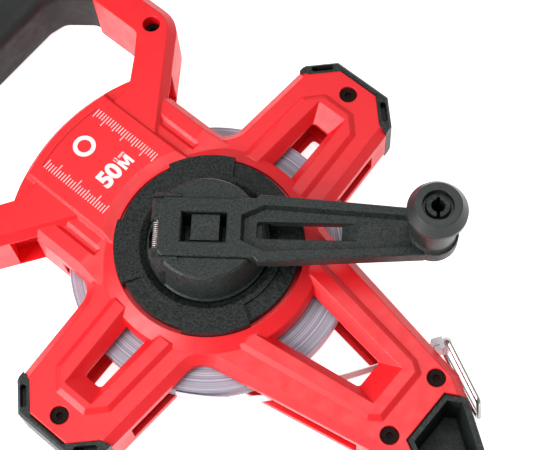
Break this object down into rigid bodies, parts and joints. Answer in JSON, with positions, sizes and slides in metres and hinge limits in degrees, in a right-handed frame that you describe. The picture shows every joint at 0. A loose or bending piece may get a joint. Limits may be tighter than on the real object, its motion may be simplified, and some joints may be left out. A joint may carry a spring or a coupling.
{
  "type": "open reel long tape",
  "caption": "Open reel long tape with an X-shaped two-shell frame, D-handle, geared drum of wound tape, folding crank with a turning knob and a wire ring on the tape's end.",
  "frame": {"origin": "on the drum's axis at the flat back of the hub, which the reel lies on", "axes": "+Z along the drum's axis towards the crank, +Y towards the carrying handle, +X to the right"},
  "size_m": [0.2976, 0.427, 0.1156],
  "materials": {
    "red_shell": "satin moulded ABS",
    "black_shell": "fine spark texture",
    "black_grip": "soft overmould",
    "gear_plastic": "acetal",
    "steel": "turned",
    "screw_steel": "black oxide",
    "bronze": "sintered",
    "tape": "fibreglass tape",
    "clear_plastic": "pale plastic",
    "chrome": "polished plate"
  },
  "bodies": {
    "frame": {"front_frame": "red_shell", "rear_frame": "red_shell", "grip": "black_grip", "bumper_right": "black_shell", "bumper_left": "black_shell", "foot_pocket": "black_shell", "gear_bezel": "black_shell", "ring_gear": "gear_plastic", "axle": "steel", "tape_lead": "tape", "tape_guides": "red_shell", "tape_clamp": "clear_plastic", "frame_screws": "screw_steel"},
    "drum_body": {"drum": "gear_plastic", "drum_bush": "bronze", "sun_gear": "gear_plastic", "tape_coil": "tape"},
    "crank_hub_body": {"crank_hub": "black_shell", "planet_pins": "steel", "hinge_pin": "steel", "crank_spring": "steel"},
    "planet_body_1": {"planet_gear_1": "gear_plastic"},
    "planet_body_2": {"planet_gear_2": "gear_plastic"},
    "planet_body_3": {"planet_gear_3": "gear_plastic"},
    "crank_arm_body": {"crank_arm": "black_shell"},
    "knob_body": {"knob": "black_shell"},
    "end_ring_body": {"end_ring": "chrome"}
  },
  "joints": [
    {"name": "drum_spin", "type": "hinge", "parent": "frame", "child": "drum_body", "pos_m": [0, 0, 0.022], "axis": [0, 0, 1], "continuous": true},
    {"name": "crank_spin", "type": "hinge", "parent": "frame", "child": "crank_hub_body", "pos_m": [0, 0, 0.045], "axis": [0, 0, 1], "continuous": true},
    {"name": "crank_fold", "type": "hinge", "parent": "crank_hub_body", "child": "crank_arm_body", "pos_m": [-0.01741, 0.02269, 0.0685], "axis": [-0.7934, -0.6088, 0], "range_deg": [0, 165]},
    {"name": "knob_spin", "type": "hinge", "parent": "crank_arm_body", "child": "knob_body", "pos_m": [0.08096, -0.10552, 0.096], "axis": [0, 0, 1], "continuous": true},
    {"name": "planet_1_spin", "type": "hinge", "parent": "crank_hub_body", "child": "planet_body_1", "pos_m": [0.0243, 0, 0.035], "axis": [0, 0, 1], "continuous": true},
    {"name": "planet_2_spin", "type": "hinge", "parent": "crank_hub_body", "child": "planet_body_2", "pos_m": [-0.01215, 0.02104, 0.035], "axis": [0, 0, 1], "continuous": true},
    {"name": "planet_3_spin", "type": "hinge", "parent": "crank_hub_body", "child": "planet_body_3", "pos_m": [-0.01215, -0.02104, 0.035], "axis": [0, 0, 1], "continuous": true},
    {"name": "ring_swing", "type": "hinge", "parent": "frame", "child": "end_ring_body", "pos_m": [0.04583, -0.1456, 0.022], "axis": [0, 0, 1], "range_deg": [0, 150]}
  ],
  "couplings": [
    {"joint": "crank_spin", "follows": "drum_spin", "ratio": 0.33333},
    {"joint": "planet_1_spin", "follows": "drum_spin", "ratio": -1.3333},
    {"joint": "planet_2_spin", "follows": "drum_spin", "ratio": -1.3333},
    {"joint": "planet_3_spin", "follows": "drum_spin", "ratio": -1.3333}
  ]
}
